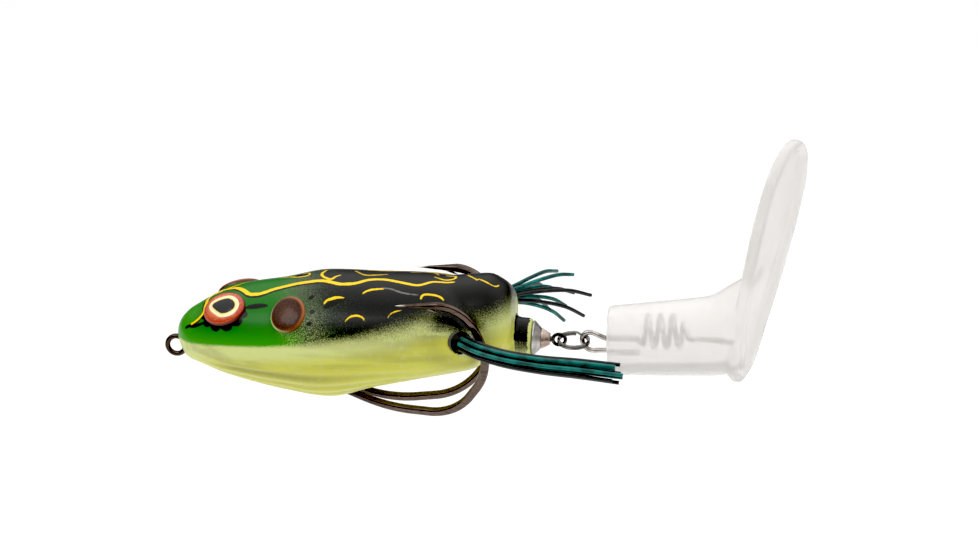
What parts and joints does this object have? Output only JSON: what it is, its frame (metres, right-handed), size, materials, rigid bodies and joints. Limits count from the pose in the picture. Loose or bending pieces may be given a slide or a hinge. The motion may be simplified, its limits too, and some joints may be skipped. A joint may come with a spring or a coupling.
{
  "type": "topwater popper",
  "caption": "Hollow soft frog topwater lure with an upturned double hook, soft strand legs and a swivel-hung cupped paddle tail that spins behind it",
  "frame": {"origin": "centre of the hole of the line-tie eye at the nose", "axes": "+X from nose to tail along the lure, +Y towards the frog's right side along the line-tie hole, +Z towards the frog's back"},
  "size_m": [0.1172, 0.0539, 0.0495],
  "materials": {
    "painted_body": "soft hollow body, airbrushed green and black over pale yellow, semi-gloss clear coat",
    "hook_steel": "black nickel hook wire",
    "lead": "dull cast weight",
    "eye": "domed eye, orange ring, yellow ring and black pupil under clear resin",
    "ear": "dark copper-brown domed disc",
    "sleeve": "soft translucent sleeve",
    "tail_weight": "turned bare weight",
    "swivel_bronze": "satin bronze barrel",
    "black_wire": "black nickel swivel wire",
    "split_ring": "polished black nickel ring",
    "keeper_wire": "bright nickel wire",
    "paddle": "milky translucent soft plastic",
    "teal_strand": "soft teal strand",
    "black_strand": "soft black strand"
  },
  "bodies": {
    "lure_body": {"body_shell": "painted_body", "double_hook": "hook_steel", "keel_weight": "lead", "left_eye": "eye", "right_eye": "eye", "left_ear_disc": "ear", "right_ear_disc": "ear", "left_leg_sleeve": "sleeve", "right_leg_sleeve": "sleeve", "tail_weight": "tail_weight", "swivel_barrel": "swivel_bronze"},
    "swivel": {"swivel_eye": "black_wire"},
    "ring": {"split_ring": "split_ring"},
    "tail": {"tail_keeper": "keeper_wire", "paddle_tail": "paddle"},
    "left_leg": {"left_leg_strand_01": "teal_strand", "left_leg_strand_02": "black_strand", "left_leg_strand_03": "teal_strand", "left_leg_strand_04": "teal_strand", "left_leg_strand_05": "black_strand", "left_leg_strand_06": "teal_strand", "left_leg_strand_07": "teal_strand", "left_leg_strand_08": "black_strand", "left_leg_strand_09": "black_strand", "left_leg_strand_10": "teal_strand"},
    "right_leg": {"right_leg_strand_01": "black_strand", "right_leg_strand_02": "teal_strand", "right_leg_strand_03": "teal_strand", "right_leg_strand_04": "black_strand", "right_leg_strand_05": "teal_strand", "right_leg_strand_06": "teal_strand", "right_leg_strand_07": "black_strand", "right_leg_strand_08": "teal_strand", "right_leg_strand_09": "teal_strand", "right_leg_strand_10": "black_strand"}
  },
  "joints": [
    {"name": "tail_spin", "type": "hinge", "parent": "lure_body", "child": "swivel", "pos_m": [0.06906, 0, 0.00136], "axis": [0.9981, 0, -0.061], "continuous": true},
    {"name": "ring_tip", "type": "hinge", "parent": "swivel", "child": "ring", "pos_m": [0.07055, 0, 0.00127], "axis": [0.0116, 0.9816, 0.1905], "range_deg": [-25, 25]},
    {"name": "tail_swing", "type": "hinge", "parent": "ring", "child": "tail", "pos_m": [0.07479, 0, 0.00129], "axis": [0, 0, 1], "range_deg": [-25, 25]},
    {"name": "left_leg_swing", "type": "hinge", "parent": "lure_body", "child": "left_leg", "pos_m": [0.05543, -0.01202, 0.00414], "axis": [0, 0, 1], "range_deg": [-8, 8]},
    {"name": "right_leg_swing", "type": "hinge", "parent": "lure_body", "child": "right_leg", "pos_m": [0.05543, 0.01202, 0.00414], "axis": [0, 0, 1], "range_deg": [-8, 8]}
  ]
}
